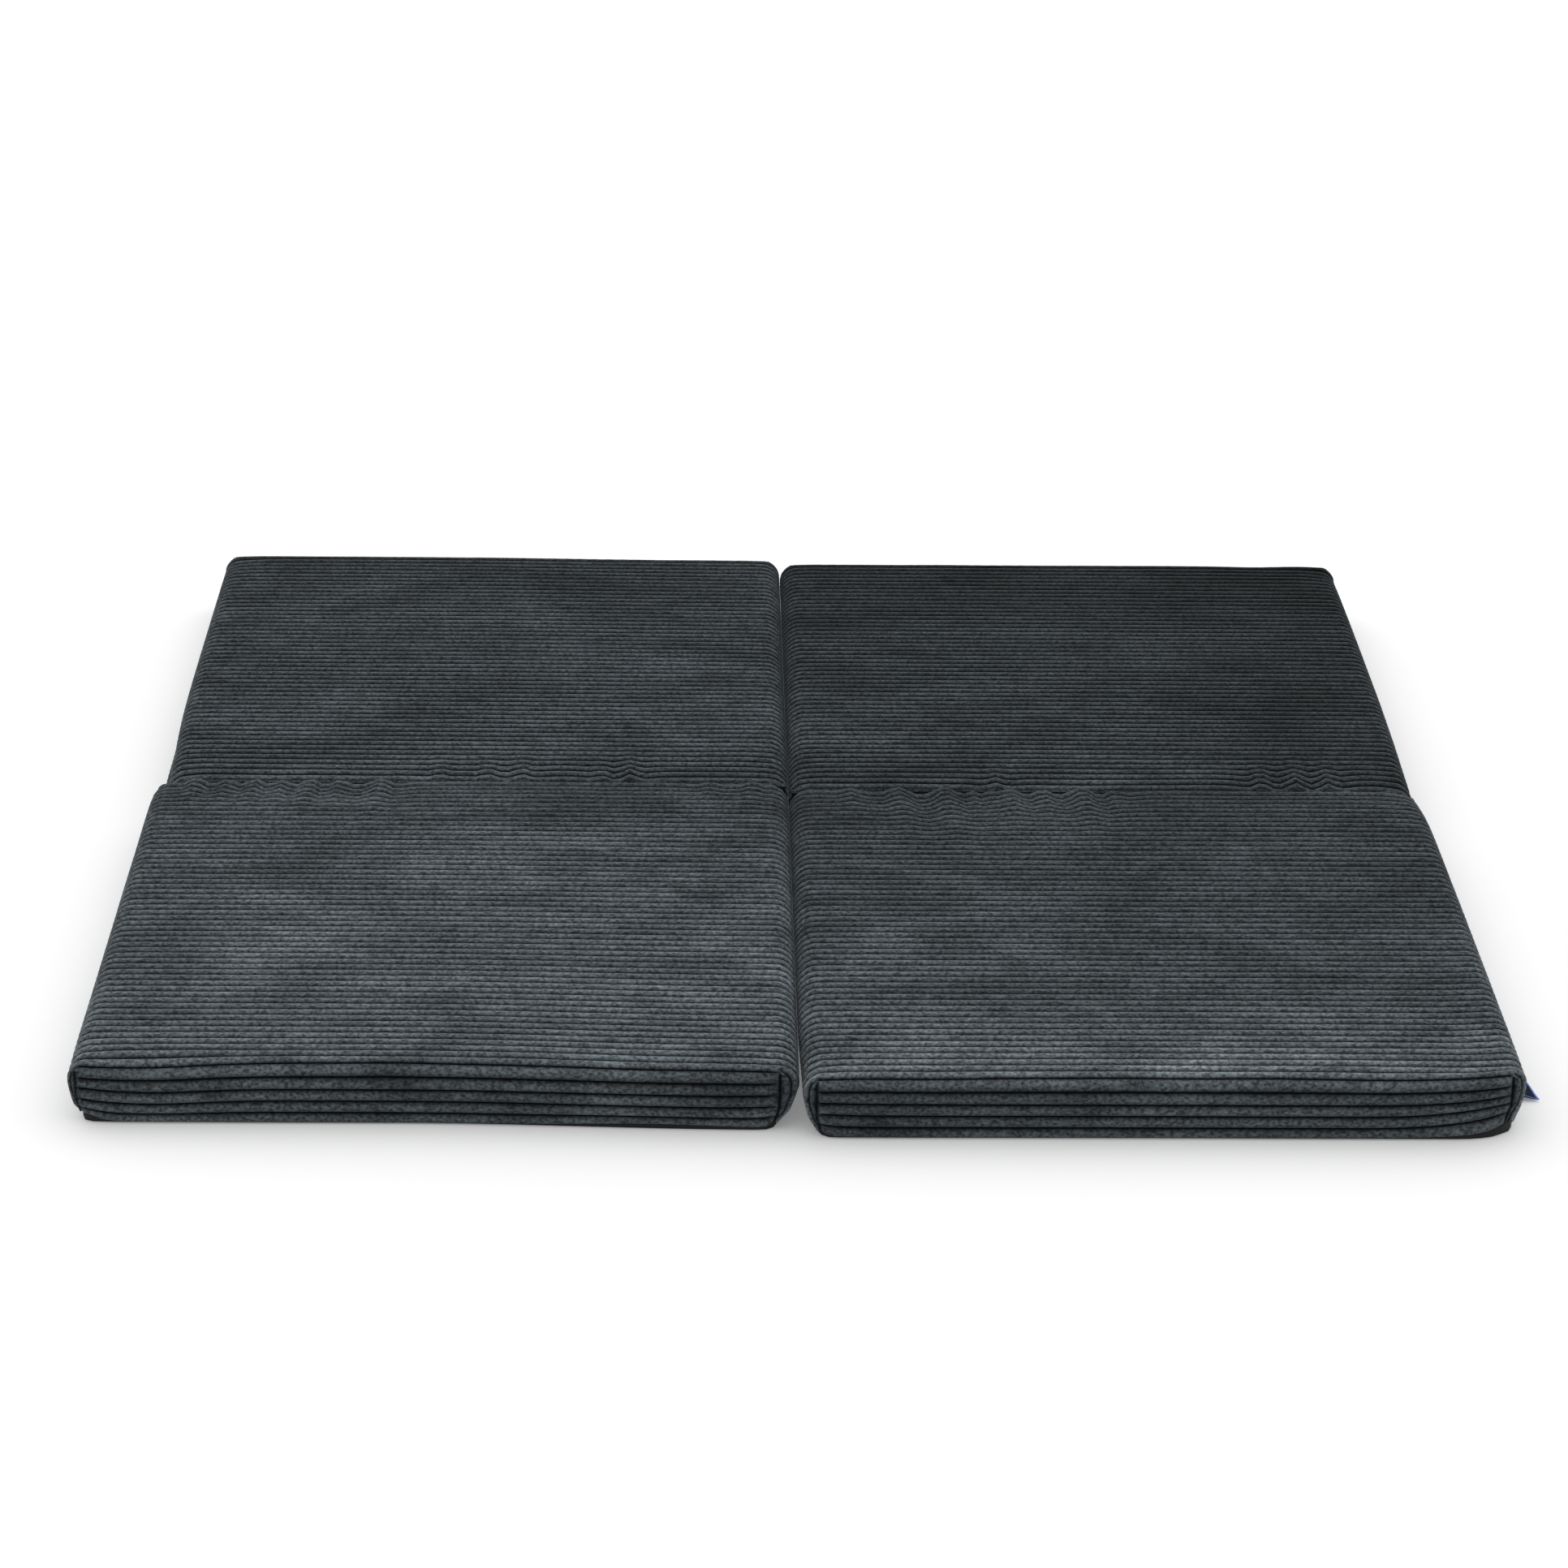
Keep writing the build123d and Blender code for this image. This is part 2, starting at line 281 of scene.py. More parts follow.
def settled(pad, points):
    """The points of a pad, local, after it has been sewn, used and set down."""
    a, b, z = points[..., 0], points[..., 1], points[..., 2]
    out = points.copy()
    from_gap = a + pad.half  # distance from the wall that faces the other half
    outer_side = smooth(a / pad.half)
    run = np.clip(b / pad.length, 0, 1.05)
    top = smooth((z - 0.034) / 0.020)
    # the outer ends aren't quite square
    inner_shift, outer_shift, blunted = SET_OUT[pad.name]
    across = smooth((from_gap - 0.03) / 0.30)
    out[..., 1] += run * (inner_shift + (outer_shift - inner_shift) * across)
    out[..., 1] -= run**3 * blunted * np.clip((a - (pad.half - 0.060)) / 0.060, 0, 1.1) ** 2
    # at the crease the two covers are sewn edge to edge
    out[..., 1] -= 0.0012 * top * np.exp(-((b / 0.012) ** 2))
    # the crease seam pulls the outer walls in, and the inner walls part towards the front
    pulled, along, even = WAIST[pad.name]
    zipped = smooth((b - pad.zip_span[0] + 0.030) / 0.025)
    held = zipped * (1 - smooth((z - 0.020) / 0.016))
    out[..., 0] -= (even + pulled * np.exp(-((b / along) ** 2))) * outer_side * (1 - held)
    # the two halves are pushed together until their walls touch
    out[..., 0] -= 0.0004 * smooth(-a / pad.half)
    if pad.end < 0:
        out[..., 0] += PARTING[pad.name] * smooth((b - 0.46) / 0.14) * smooth(-a / pad.half)
    # the top is softly uneven, and lower at its corners
    seed = 20 + pad.side + 3 * pad.end
    uneven = 0.0006 * ripple(seed, a, b, 0.30) + 0.0003 * ripple(seed + 50, a, b, 0.09)
    from_out = pad.half - a
    crossing = np.exp(-((from_gap / 0.011) ** 2) - (b / 0.010) ** 2)
    crease_end = np.exp(-((from_out / 0.024) ** 2) - (b / 0.022) ** 2)
    far = np.exp(-(((pad.length - b) / 0.040) ** 2))
    lowered = 0.0008 * np.exp(-((from_gap / 0.030) ** 2)) + 0.0022 * np.exp(-((from_out / 0.040) ** 2))
    far = far * lowered
    gathered = 0.0022 * np.exp(-((b / 0.060) ** 2))
    lower = TOP_SLACK + 0.0022 * crossing + 0.0040 * crease_end + far + gathered
    out[..., 2] += top * (uneven - lower)
    # ridges gathered by the crease seam, with the cloth beside them pulled down
    ridges = np.zeros_like(z)
    for place, height, reach in PUCKERS[pad.name]:
        off = from_gap - place - 0.05 * (b - 0.02)
        fade = 1.6 * np.exp(-((b / (1.25 * reach)) ** 2))
        wide = 0.0055 + 0.085 * reach
        rise = 1.9 * np.exp(-((off / wide) ** 2)) - np.exp(-((off / (2.3 * wide)) ** 2))
        ridges += height * fade * rise
    out[..., 2] += top * ridges
    out[..., 1] += top * pad.end * 1.2 * ridges * smooth(b / 0.022)
    # the corner seams gather the ribs of the end wall upwards, and beside one the wall sags
    lift, beside, sag = GATHER[pad.name]
    to_corner = np.maximum(pad.half - pad.corner(1, pad.length) - a, 0.0)
    to_inner = np.maximum(a + pad.half - pad.corner(-1, pad.length), 0.0)
    to_end = np.maximum(pad.length - 0.008 - b, 0.0)
    at_end = smooth((b - (pad.length - 0.022)) / 0.018)
    height = 0.40 + 0.60 * np.exp(-(((z - 0.016) / 0.015) ** 2))
    corner = lift * np.exp(-((to_corner / beside) ** 2)) + 0.0012 * np.exp(-((to_inner / 0.030) ** 2))
    sagging = sag * np.exp(-(((to_corner - 0.062) / 0.055) ** 2)) * smooth(z / 0.020)
    foot = smooth((z + 0.004) / 0.010)
    at_corner, at_place, place, reach = FOOT[pad.name]
    raised = at_end * at_place * np.exp(-(((from_gap - place) / reach) ** 2))
    raised = raised + at_corner * np.exp(-((to_corner / 0.018) ** 2) - (to_end / 0.020) ** 2)
    raised = raised + 0.0034 * np.exp(-((to_inner / 0.009) ** 2) - (to_end / 0.012) ** 2)
    # and at the foot the corners are rounded
    tucked = TUCK[pad.name] * np.exp(-((to_corner / 0.011) ** 2) - (to_end / 0.012) ** 2)
    tucked = tucked + 0.0025 * np.exp(-((to_inner / 0.009) ** 2) - (to_end / 0.012) ** 2)
    tucked = tucked * (1 - smooth(z / 0.022))
    out[..., 0] -= tucked * np.sign(a)
    out[..., 1] -= tucked
    out[..., 2] += at_end * (corner * height * foot - sagging) + raised * (1 - smooth(z / 0.018))
    # crests stay under the hinge line
    ceiling = pad.top + 0.0003
    over = out[..., 2] - (ceiling - 0.001)
    out[..., 2] = np.where(over > 0, ceiling - 0.001 * np.exp(-np.maximum(over, 0) / 0.001), out[..., 2])
    return out


def rib_rows(pad):
    """Distances along the cloth of its rows of points, from the crease's edge, and where each
    lies on its rib: 0 on the crest and 1 in the groove."""
    b, z = pad.lengthwise()
    run = np.concatenate([[0], np.cumsum(np.hypot(np.diff(b), np.diff(z)))])
    wall = pad.top - CREASE_RADIUS - pad.foot
    start = wall + CREASE_RADIUS * math.pi / 4  # middle of the crease's edge
    straight = pad.length - CREASE_RADIUS - FOLD_RADIUS
    stop = start + straight + (CREASE_RADIUS + FOLD_RADIUS) * math.pi / 4
    pitch = (stop - start) / RIBS
    first = -math.ceil(start / pitch)
    last = RIBS + math.ceil((run[-1] - stop) / pitch)
    places = [
        (rib + point, abs(2 * point - 1)) for rib in range(first, last) for point in RIB_POINTS
    ]
    at = np.array([p[0] for p in places])
    below = np.clip(at - RIBS, 0, None)
    wider = np.minimum(below, 1) * (FIRST_RIB - 1) + np.maximum(below - 1, 0) * (WALL_RIB - 1)
    at = (at + wider) * pitch + start
    place = np.array([p[1] for p in places])
    inside = (at > 0) & (at < run[-1])
    at = np.concatenate([[0], at[inside], [run[-1]]])
    place = np.concatenate([[1], place[inside], [1]])
    return at, place, run, start


def groove_depth(place):
    """Depth of the cloth under its crest, 0 to 1, for a round rib with a narrow groove."""
    return (1 - np.sqrt(1 - 0.93 * place**2)) / (1 - math.sqrt(0.07))


def grid_faces(rows, columns, first=0):
    """The quads of a grid of points, stored row by row."""
    corner = np.arange(rows * columns).reshape(rows, columns) + first
    quads = np.stack(
        [corner[:-1, :-1], corner[:-1, 1:], corner[1:, 1:], corner[1:, :-1]], axis=-1
    )
    return quads.reshape(-1, 4)


def top_patch(pad):
    """The top of the cover with its two end walls: points, the way out, and depth in the groove."""
    at, place, run, _ = rib_rows(pad)
    line_b, line_z = pad.lengthwise()
    b, z = np.interp(at, run, line_b), np.interp(at, run, line_z)
    slope_b, slope_z = np.gradient(line_b, run), np.gradient(line_z, run)
    out_b, out_z = -np.interp(at, run, slope_z), np.interp(at, run, slope_b)
    edge = pad.half - SIDE_RADIUS
    inner, outer = (float(pad.half - pad.corner(wall, pad.length)) for wall in (-1, 1))
    a = np.concatenate(
        [
            np.linspace(-inner, -edge, 6)[:-1],
            np.linspace(-edge, edge, 76),
            np.linspace(edge, outer, 6)[1:],
        ]
    )
    seam = np.where(a > 0, outer, inner)
    u = a / seam
    across = u[None, :] * pad.seam_at(z[:, None], a[None, :], b[:, None])
    crown = pad.crown_at(across)
    low = z[:, None] < crown
    height = np.where(low, z[:, None], crown)
    points = np.stack([across, np.broadcast_to(b[:, None], across.shape), height], axis=-1)
    tilt = np.clip((np.abs(across) - edge) / SIDE_RADIUS, 0, 1) * np.sign(across)
    out = np.zeros_like(points)
    out[..., 0] = np.where(low, 0, tilt)
    out[..., 1] = np.where(low, out_b[:, None], 0)
    out[..., 2] = np.where(low, out_z[:, None], np.sqrt(1 - tilt**2))
    depth = np.broadcast_to(groove_depth(place)[:, None], across.shape)
    to_seam = ((1 - np.abs(u)) * seam)[None, :]
    begins = smooth((pad.crown_at(pad.half - pad.corner(a[None, :], b[:, None])) - z[:, None]) / 0.004)
    near_seam = begins * np.exp(-((to_seam / SEAM_REACH) ** 2))
    radius = pad.width_at(z[:, None], a[None, :]) - pad.seam_at(z[:, None], a[None, :], b[:, None])
    overlap = SEAM_OVERLAP * np.clip(radius / 0.006, 0, 1)
    points[..., 0] += np.sign(u) * (np.abs(u) > 0.999) * begins * overlap
    return points, out, depth * (1 - near_seam), SEAM_DIP * near_seam


def wall_heights(pad, wall, b):
    """Section of a long wall at each b, from the corner seam's upper end to the foot: its distance
    from the pad's middle, its height, and the way out."""
    begins = np.arcsin((SIDE_RADIUS - pad.corner(wall, b)) / SIDE_RADIUS)
    turn = begins + (math.pi / 2 - begins) * np.linspace(0, 1, 9)[None, :]
    rounded = pad.half - SIDE_RADIUS * (1 - np.sin(turn))
    zip_edge = pad.zip_height + np.array([9.5, 7, 5.0, 4.3, 3.7, 3.0, 0, -3.0, -3.7, -4.3, -5.0]) / 1000
    upper = np.linspace(pad.top - SIDE_RADIUS, 0.0245, 6)[1:]
    down = np.concatenate([upper, zip_edge, [0.0045, 0.003, pad.foot]])[None, :]
    shape = (len(b), down.shape[1])
    flat = np.broadcast_to(pad.width_at(down, wall), shape)
    a = np.concatenate([rounded, flat], axis=1)
    z = np.concatenate([pad.top - SIDE_RADIUS * (1 - np.cos(turn)), np.broadcast_to(down, shape)], axis=1)
    out_a = np.concatenate([np.sin(turn), np.ones(shape)], axis=1)
    out_z = np.concatenate([np.cos(turn), np.zeros(shape)], axis=1)
    return a, z, out_a, out_z


def wall_patch(pad, wall):
    """A long wall of the cover, wrapped round both corners to its seams."""
    at, place, _, start = rib_rows(pad)
    reach = at - start + CREASE_RADIUS * (1 - math.pi / 4)  # as b, along the straight
    keep = (reach > -0.012) & (reach < pad.length + 0.012)
    reach, place = reach[keep][:, None], place[keep][:, None]
    a, z, out_a, out_z = wall_heights(pad, wall, reach)
    radius = np.maximum(pad.width_at(z, wall) - pad.seam_at(z, wall, reach), 1e-5)
    near = pad.end_at(z, CREASE_RADIUS, 0.0) + radius
    far = pad.length - pad.end_at(z, FOLD_RADIUS, END_DRAW) - radius
    quarter = math.pi / 2 + SEAM_OVERLAP / np.maximum(radius, 0.004)
    turn = np.clip((reach - far) / radius, 0, quarter)
    turn = turn - np.clip((near - reach) / radius, 0, quarter)
    b = np.clip(reach, near, far) + radius * np.sin(turn)
    across = a - radius * (1 - np.cos(turn))
    points = np.stack([wall * across, b, z], axis=-1)
    out = np.stack([wall * out_a * np.cos(turn), out_a * np.sin(turn), out_z], axis=-1)
    depth = np.broadcast_to(groove_depth(place), across.shape)
    to_seam = np.minimum(
        np.clip(far + radius * math.pi / 2 - reach, 0, 1),
        np.clip(reach - (near - radius * math.pi / 2), 0, 1),
    )
    begins = smooth((pad.crown_at(pad.half - pad.corner(wall, reach)) - z) / 0.004)
    near_seam = begins * np.exp(-((to_seam / SEAM_REACH) ** 2))
    return points, out, depth * (1 - near_seam), SEAM_DIP * near_seam


def new_mesh(name, points, faces):
    """A smooth-shaded object of those points and faces."""
    mesh = bpy.data.meshes.new(name)
    mesh.from_pydata([tuple(p) for p in points], [], [tuple(f) for f in faces])
    mesh.validate()
    mesh.polygons.foreach_set("use_smooth", [True] * len(mesh.polygons))
    piece = bpy.data.objects.new(name, mesh)
    bpy.context.scene.collection.objects.link(piece)
    return piece


def add_values(piece, name, values):
    """Gives a mesh's points a value each, which its material reads by that name."""
    attribute = piece.data.attributes.new(name, "FLOAT", "POINT")
    attribute.data.foreach_set("value", np.asarray(values, dtype=np.float32))


def closed_form(pad, inset, step, corner=0.0):
    """A plain closed shape of the pad, inset from the cloth, as local points and quads."""
    across = max(4, round(2 * pad.half / step))
    along = max(4, round(pad.length / step))
    up = 7
    u, v, w = (np.linspace(-1, 1, across), np.linspace(0, 1, along), np.linspace(0, 1, up))
    points, faces, count = [], [], 0

    def add(uu, vv, ww, flip):
        nonlocal count
        z = pad.foot + inset * 0.6 + ww * (pad.top - inset * 1.6 - pad.foot)
        height = np.minimum(z + inset, pad.top)
        wide = pad.width_at(height, uu) - inset
        near = pad.end_at(height, CREASE_RADIUS, 0.0) + inset
        far = pad.length - pad.end_at(height, FOLD_RADIUS, END_DRAW) - inset
        grid = np.stack(np.broadcast_arrays(uu * wide, near + vv * (far - near), z), axis=-1)
        if corner > 0:
            over_a = np.maximum(np.abs(grid[..., 0]) - (wide - corner), 0)
            middle = (near + far) / 2
            over_b = np.maximum(np.abs(grid[..., 1] - middle) - ((far - near) / 2 - corner), 0)
            over = np.hypot(over_a, over_b)
            cut = 1 - np.where(over > corner, corner / np.maximum(over, 1e-9), 1)
            grid[..., 0] -= np.sign(grid[..., 0]) * over_a * cut
            grid[..., 1] -= np.sign(grid[..., 1] - middle) * over_b * cut
        quads = grid_faces(grid.shape[0], grid.shape[1], count)
        points.append(grid.reshape(-1, 3))
        faces.append(quads[:, ::-1] if flip else quads)
        count += len(points[-1])

    zero, one = np.zeros((1, 1)), np.ones((1, 1))
    add(u[None, :], v[:, None], one, False)
    add(u[None, :], v[:, None], zero, True)
    add(u[None, :], zero, w[:, None], False)
    add(u[None, :], one, w[:, None], True)
    add(-one, v[None, :], w[:, None], True)
    add(one, v[None, :], w[:, None], False)
    return np.concatenate(points), np.concatenate(faces)


def welded(piece, gap=0.0004):
    """Joins the seams between a mesh's patches, and turns its faces outwards."""
    bpy.context.view_layer.objects.active = piece
    bpy.ops.object.select_all(action="DESELECT")
    piece.select_set(True)
    bpy.ops.object.mode_set(mode="EDIT")
    bpy.ops.mesh.select_all(action="SELECT")
    bpy.ops.mesh.remove_doubles(threshold=gap)
    bpy.ops.mesh.normals_make_consistent(inside=False)
    bpy.ops.object.mode_set(mode="OBJECT")
    return piece


def coordinates(mesh):
    """A mesh's points, as one row each."""
    flat = np.empty(len(mesh.vertices) * 3)
    mesh.vertices.foreach_get("co", flat)
    return flat.reshape(-1, 3)


def cloth_movement(pad):
    """Blows the pad's cover up a little as cloth, sewn down along its seams, and returns where the
    cloth was, in the pad's own directions, and how far it moved."""
    points, faces = closed_form(pad, 0.0, 0.016)
    piece = welded(new_mesh(f"{pad.name}_cloth", points, faces))
    before = coordinates(piece.data)
    a, b, z = before.T
    sewn = piece.vertex_groups.new(name="sewn")
    at_foot = z < pad.foot + 0.004
    at_corner = (np.abs(a) > pad.half - 0.024) & ((b < 0.012) | (b > pad.length - 0.014))
    at_crease = (b < 0.007) & (z > pad.top - 0.008)
    held = np.nonzero(at_foot | at_corner | at_crease)[0]
    sewn.add([int(i) for i in held], 1.0, "REPLACE")
    cloth = piece.modifiers.new("Cloth", "CLOTH")
    settings = cloth.settings
    settings.quality = 5
    settings.mass = 0.4
    settings.tension_stiffness = 25
    settings.compression_stiffness = 12
    settings.bending_stiffness = 0.6
    settings.use_pressure = True
    settings.uniform_pressure_force = 4
    settings.vertex_group_mass = "sewn"
    settings.effector_weights.gravity = 0
    scene = bpy.context.scene
    for number in range(1, 21):
        scene.frame_set(number)
    evaluated = piece.evaluated_get(bpy.context.evaluated_depsgraph_get())
    moved = coordinates(evaluated.data) - before
    # the foam keeps the cloth from going in, and the neighbouring pads hold it where they touch
    normals = np.array([vertex.normal[:] for vertex in piece.data.vertices])
    outward = (moved * normals).sum(axis=1, keepdims=True)
    moved = moved - normals * np.minimum(outward, 0)
    touching = (normals[:, 0] < -0.4) | (normals[:, 1] < -0.4)
    moved[touching] *= 0.1
    moved[normals[:, 2] > 0.6] *= 0.3
    bpy.data.objects.remove(piece)
    scene.frame_set(1)
    return before, moved


def spread_movement(movement, points, most):
    """The cloth's movement at other points, capped and evened out between its vertices."""
    before, moved = movement
    size = np.linalg.norm(moved, axis=1, keepdims=True)
    moved = moved * (most * np.tanh(size / most) / np.maximum(size, 1e-9))
    tree = kdtree.KDTree(len(before))
    for index, place in enumerate(before):
        tree.insert(place, index)
    tree.balance()
    flat = points.reshape(-1, 3)
    out = np.zeros_like(flat)
    for row, place in enumerate(flat):
        near = tree.find_n(place, 5)
        weights = np.array([1 / (n[2] + 0.004) ** 2 for n in near])
        out[row] = weights @ moved[[n[1] for n in near]] / weights.sum()
    return out.reshape(points.shape)


def zip_recess(pad, points, out):
    """How deep the outer wall's cloth turns in behind the zip, for local points."""
    a, b, z = points[..., 0], points[..., 1], points[..., 2]
    height = 1 - smooth((np.abs(z - pad.zip_height) - 0.0036) / 0.0008)
    span = smooth((b - pad.zip_span[0] + 0.004) / 0.002)
    span = span * smooth((pad.zip_span[1] + 0.004 - b) / 0.002)
    return ZIP_RECESS * height * span * (a > 0) * (np.abs(out[..., 0]) > 0.5)


def pressed_flat(pad, points):
    """1 where the two halves touch, which presses the ribs flat and marks where the cloth gets painted
    shade between the halves, and 0 elsewhere.
    """
    a, b, z = points[..., 0], points[..., 1], points[..., 2]
    touching = smooth((0.012 - pad.half - a) / 0.010) * (1 - smooth((z - 0.046) / 0.008))
    if pad.end < 0:
        touching = touching * (1 - smooth((b - 0.44) / 0.06))
    return touching


def make_cover(pad, movement):
    """The corduroy cover as one mesh: top and end walls, then the two long walls."""
    points, faces, grooves, painted_light_places, count = [], [], [], [], 0
    patches = ((top_patch(pad), False), (wall_patch(pad, 1), False), (wall_patch(pad, -1), True))
    for patch, flip in patches:
        place, out, depth, dip = patch
        recess = zip_recess(pad, settled(pad, place), out)
        # painted light and shade: where each point sits on its pad's ramp of painted light, from the back
        # edge to the front edge, with the front wall pushed to the last stop for its painted shade
        forward = place[..., 1] / pad.length
        forward = forward if pad.end < 0 else 1 - forward
        front_wall_shade = smooth((pad.top - 0.003 - place[..., 2]) / 0.008) * (np.abs(out[..., 0]) < 0.6)
        front_wall_shade = front_wall_shade * (place[..., 1] * pad.end < -0.5 * pad.length)
        painted_light_places.append((0.94 * np.clip(forward, 0, 1) + 0.06 * front_wall_shade).reshape(-1))
        ribbed = 1 - recess / ZIP_RECESS
        ribbed = ribbed * (1 - 0.6 * np.exp(-((place[..., 1] / 0.003) ** 2)))
        pressed = pressed_flat(pad, place)
        sunk = ribbed * (1 - PRESSED * pressed)
        if movement:
            clear = smooth((place[..., 2] - 0.020) / 0.012)[..., None]
            place = place + clear * spread_movement(movement, place, MOST_SWELLING)
        place = settled(pad, place)
        place = place - out * (GROOVE * depth * sunk + dip + recess)[..., None]
        rows, columns = depth.shape
        quads = grid_faces(rows, columns, count)
        faces.append(quads[:, ::-1] if flip else quads)
        points.append(pad.world(place).reshape(-1, 3))
        painted_seam_and_gap_shade = np.maximum(0.95 * (dip / SEAM_DIP) ** 2, 0.42 * pressed)  # painted shade at the corner seams, and between the two halves where they touch
        grooves.append(np.maximum(depth * ribbed, painted_seam_and_gap_shade).reshape(-1))
        count += rows * columns
    points, faces = np.concatenate(points), np.concatenate(faces)
    if pad.side * pad.end < 0:
        faces = faces[:, ::-1]
    piece = new_mesh(f"{pad.name}_corduroy", points, faces)
    # the groove value feeds only painted shade: in the grooves, at the seams and in the gap between the
    # halves
    add_values(piece, "groove", np.concatenate(grooves))
    add_values(piece, "nap", np.concatenate(painted_light_places))
    return piece


def make_foam(pad):
    """The foam core, inside the cloth."""
    points, faces = closed_form(pad, FOAM_INSET, 0.012, FOAM_CORNER)
    piece = new_mesh(f"{pad.name}_foam", pad.world(settled(pad, points)), faces)
    return welded(piece)


def make_base(pad):
    """The black woven underside: a thin closed sheet whose edge shows under the last rib."""
    across, along = 60, 60
    u, v = np.meshgrid(np.linspace(-1, 1, across), np.linspace(0, 1, along))
    foot = pad.foot + BASE_EDGE
    wide = pad.width_at(np.array(pad.foot), u) - BASE_INSET
    far = pad.length - END_DRAW - BASE_INSET
    a, b = u * wide, 0.0006 + v * (far - 0.0006)
    # round the corners in plan
    radius = BASE_CORNER
    over_a = np.clip(np.abs(a) - (wide - radius), 0, radius)
    over_b = np.clip(np.abs(b - far / 2) - (far / 2 - radius), 0, radius)
    over = np.hypot(over_a, over_b)
    scale = np.where(over > radius, radius / np.maximum(over, 1e-9), 1)
    a = a - np.sign(a) * over_a * (1 - scale)
    b = b - np.sign(b - far / 2) * over_b * (1 - scale)
    upper = settled(pad, np.stack([a, b, np.full_like(a, foot)], axis=-1))
    lower = settled(pad, np.stack([a, b, np.full_like(a, pad.foot)], axis=-1))
    flat = 0.0002 + 0.0006 * (1 - smooth((1 - np.maximum(np.abs(u), np.abs(2 * v - 1))) / 0.04))
    lower[..., 2] = flat
    points = np.concatenate([upper.reshape(-1, 3), lower.reshape(-1, 3)])
    faces = np.concatenate(
        [grid_faces(along, across), grid_faces(along, across, along * across)[:, ::-1]]
    )
    corner = np.arange(along * across).reshape(along, across)
    rim = np.concatenate([corner[0, :-1], corner[:-1, -1], corner[-1, :0:-1], corner[:0:-1, 0]])
    following = np.roll(rim, -1)
    sides = np.stack([rim, following, following + corner.size, rim + corner.size], axis=-1)
    piece = new_mesh(f"{pad.name}_base", pad.world(points), np.concatenate([faces, sides]))
    return welded(piece, 0.00001)


def make_crease(front, back):
    """The seam that joins two pads: cloth turned down between them and its bound allowance."""
    steps = 160
    across = np.linspace(CREASE_INNER - front.half, front.half - CREASE_OUTER, steps)
    middle = (front.crease + back.crease) / 2
    gap = abs(back.crease - front.crease) / 2
    top = front.top - TOP_SLACK
    section = [  # (out from the crease line, height): over the seam, then round its allowance
        (-gap - 0.0022, top - 0.0030),
        (-gap - 0.0004, top - 0.0036),
        (-gap * 0.35, top - 0.0052),
        (-gap * 0.30, top - 0.0100),
        (0.0, top - 0.0108),
        (gap * 0.30, top - 0.0100),
        (gap * 0.35, top - 0.0052),
        (gap + 0.0004, top - 0.0036),
        (gap + 0.0022, top - 0.0030),
    ]
    uneven = 0.0005 * ripple(77 + front.side, across, 0 * across, 0.05) - 0.0010
    uneven -= 0.0020 * np.exp(-(((across + front.half) / 0.020) ** 2))
    points = [
        (front.middle + front.side * x, middle + y, z + lift)
        for x, lift in zip(across, uneven)
        for y, z in section
    ]
    half = "left" if front.side < 0 else "right"
    piece = new_mesh(f"{half}_crease", points, grid_faces(steps, len(section)))
    return piece, middle, gap


def make_label():
    """A folded loop of navy ribbon with a pale woven edge, caught in the seam at the foot of the right
    wall. It lies almost flat, and its fold is pushed round towards the front."""
    low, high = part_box("side_label")
    root_back = Vector((low.x - 0.007, high.y + 0.013, 0.0042))
    root_front = Vector((low.x - 0.007, high.y - 0.011, 0.0042))
    fold_back = Vector((high.x + 0.0012, high.y + 0.015, 0.0050))
    fold_front = Vector((high.x + 0.0086, low.y + 0.008, 0.0030))
    along, across = 27, 19
    points, edges = [], []
    for layer in (1, -1):
        for i in range(along):
            t = i / (along - 1)
            lift = 0.0012 * math.sin(math.pi * t) + layer * 0.0009 * math.sqrt(1 - t * t)
            for j in range(across):
                s = j / (across - 1)
                point = root_back.lerp(fold_back, t).lerp(root_front.lerp(fold_front, t), s)
                wave = 0.0008 * math.sin(7 * t + 5 * s)
                points.append((point.x, point.y, max(0.0006, point.z + lift + wave)))
                edges.append(float(smooth(max((t - 0.93) / 0.04, (abs(s - 0.5) - 0.455) / 0.03))))
    faces = np.concatenate(
        [grid_faces(along, across), grid_faces(along, across, along * across)[:, ::-1]]
    )
    piece = new_mesh("loop_label", points, faces)
    add_values(piece, "edge", edges)
    return piece


def parts_of(material):
    """A material's nodes, its links and its shader."""
    tree = material.node_tree
    return tree.nodes, tree.links, tree.nodes["Principled BSDF"]


def node_with(nodes, kind, **values):
    """A new node with those values on its inputs."""
    node = nodes.new(kind)
    for name, value in values.items():
        node.inputs[name].default_value = value
    return node


def value_named(nodes, name):
    """The value that a mesh's points hold by that name."""
    node = nodes.new("ShaderNodeAttribute")
    node.attribute_name = name
    return node.outputs["Fac"]


